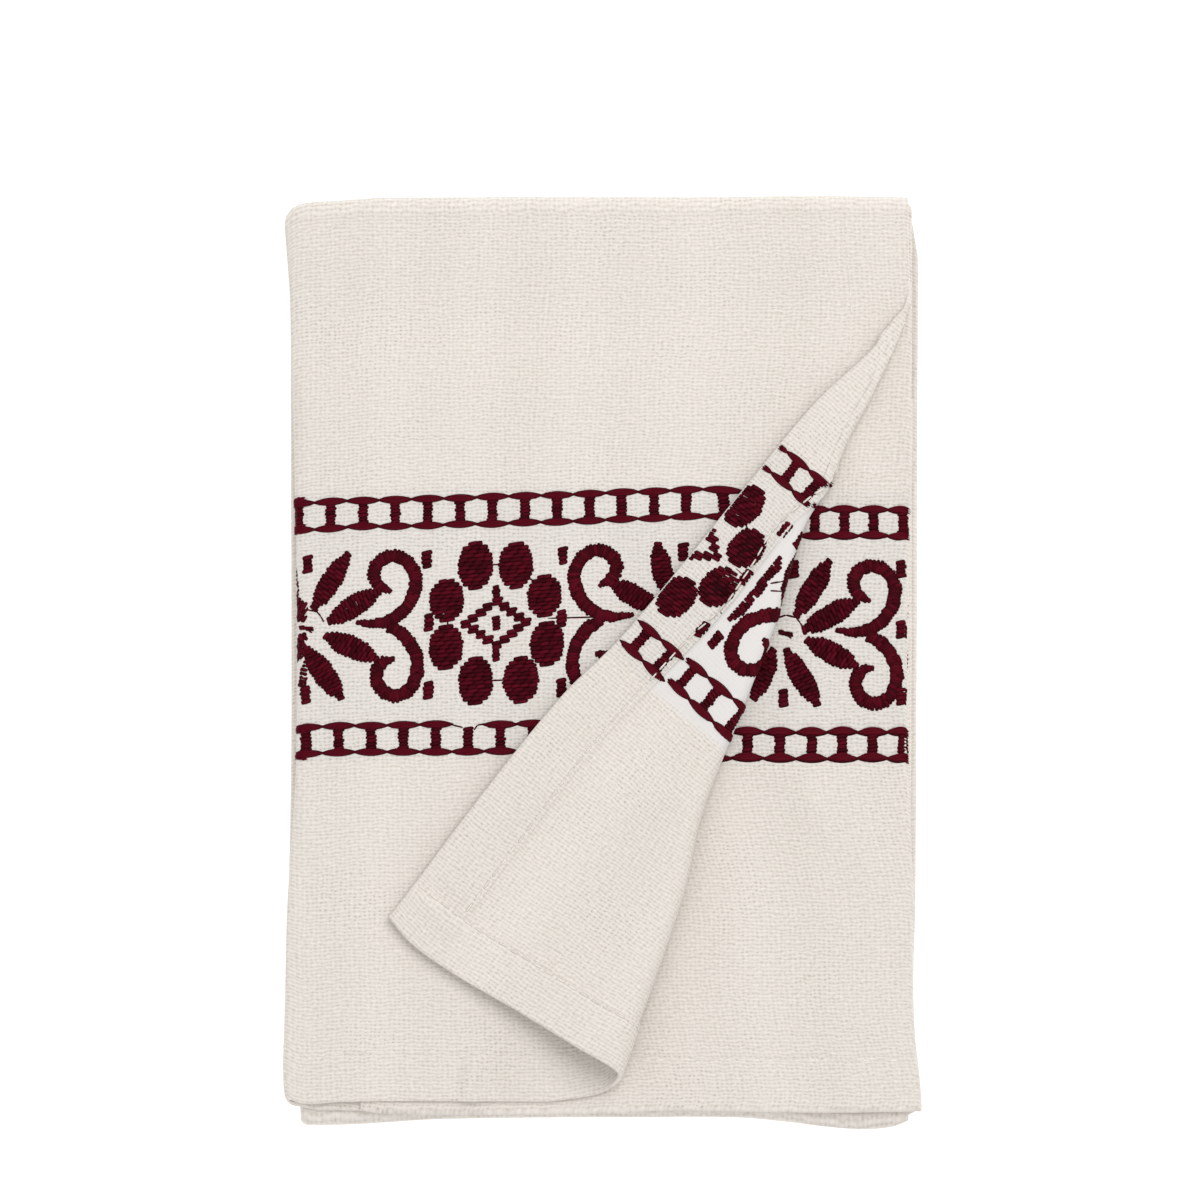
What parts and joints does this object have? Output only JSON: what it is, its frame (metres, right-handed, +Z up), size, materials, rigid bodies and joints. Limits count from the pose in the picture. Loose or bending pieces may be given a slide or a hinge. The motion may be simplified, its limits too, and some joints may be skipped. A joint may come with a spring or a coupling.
{
  "type": "tea towel",
  "caption": "Folded off-white woven tea towel with hemmed edges and a dark red folk embroidered band, one corner of the top layer turned back.",
  "frame": {"origin": "middle of the folded towel's outline, on the surface that it lies on", "axes": "+X to the right across the folded towel, +Y along it to the far fold, away from the end with the free hems, +Z up"},
  "size_m": [0.1762, 0.257, 0.0237],
  "materials": {
    "cloth": "matt",
    "embroidery_thread": "satin",
    "seam_thread": "matt"
  },
  "bodies": {
    "root": {"towel": "cloth"}
  },
  "joints": []
}
